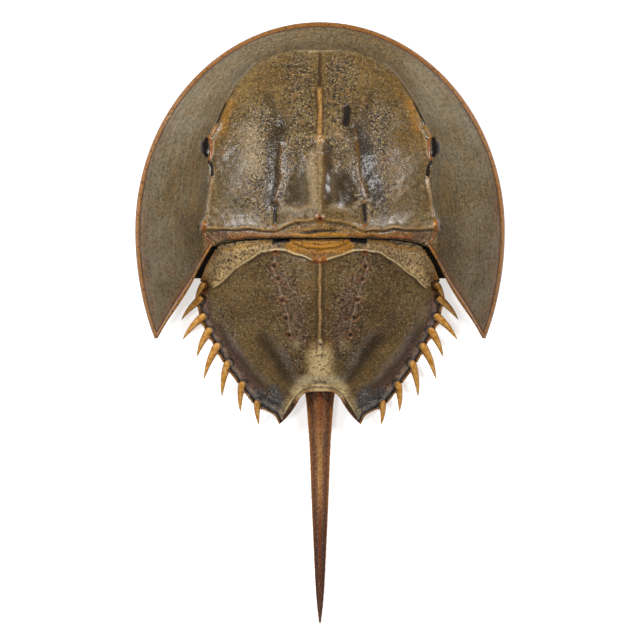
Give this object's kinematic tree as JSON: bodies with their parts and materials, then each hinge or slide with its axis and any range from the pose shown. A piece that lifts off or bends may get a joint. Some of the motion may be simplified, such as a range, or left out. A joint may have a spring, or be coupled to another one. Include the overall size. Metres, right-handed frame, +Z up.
{
  "type": "horseshoe crab shell",
  "caption": "Dried horseshoe crab shell: a domed, hollow head shield, a notched rear shield with movable side spines, and a long tail spike.",
  "frame": {"origin": "middle of the outline seen from above, at the level of the surface that the shell lies on", "axes": "+Y towards the front of the head shield, -Y along the tail spike, +X to the right of the animal seen from above, +Z up through its back"},
  "size_m": [0.2466, 0.4006, 0.0688],
  "materials": {
    "shield": "semi-gloss olive-brown cuticle with a golden rim",
    "rear_shield": "semi-gloss brown cuticle, purple-grey towards the edges",
    "tail": "semi-gloss red-brown cuticle",
    "spine": "satin amber cuticle",
    "skin": "dried dark skin"
  },
  "bodies": {
    "root": {"prosoma": "shield", "opisthosoma": "rear_shield", "telson": "tail", "joint_skin": "skin", "tail_skin": "skin", "marginal_spine_left_1": "spine", "marginal_spine_left_2": "spine", "marginal_spine_left_3": "spine", "marginal_spine_left_4": "spine", "marginal_spine_left_5": "spine", "marginal_spine_left_6": "spine", "marginal_spine_left_7": "spine", "marginal_spine_left_8": "spine", "marginal_spine_right_1": "spine", "marginal_spine_right_2": "spine", "marginal_spine_right_3": "spine", "marginal_spine_right_4": "spine", "marginal_spine_right_5": "spine", "marginal_spine_right_6": "spine", "marginal_spine_right_7": "spine", "marginal_spine_right_8": "spine"}
  },
  "joints": []
}
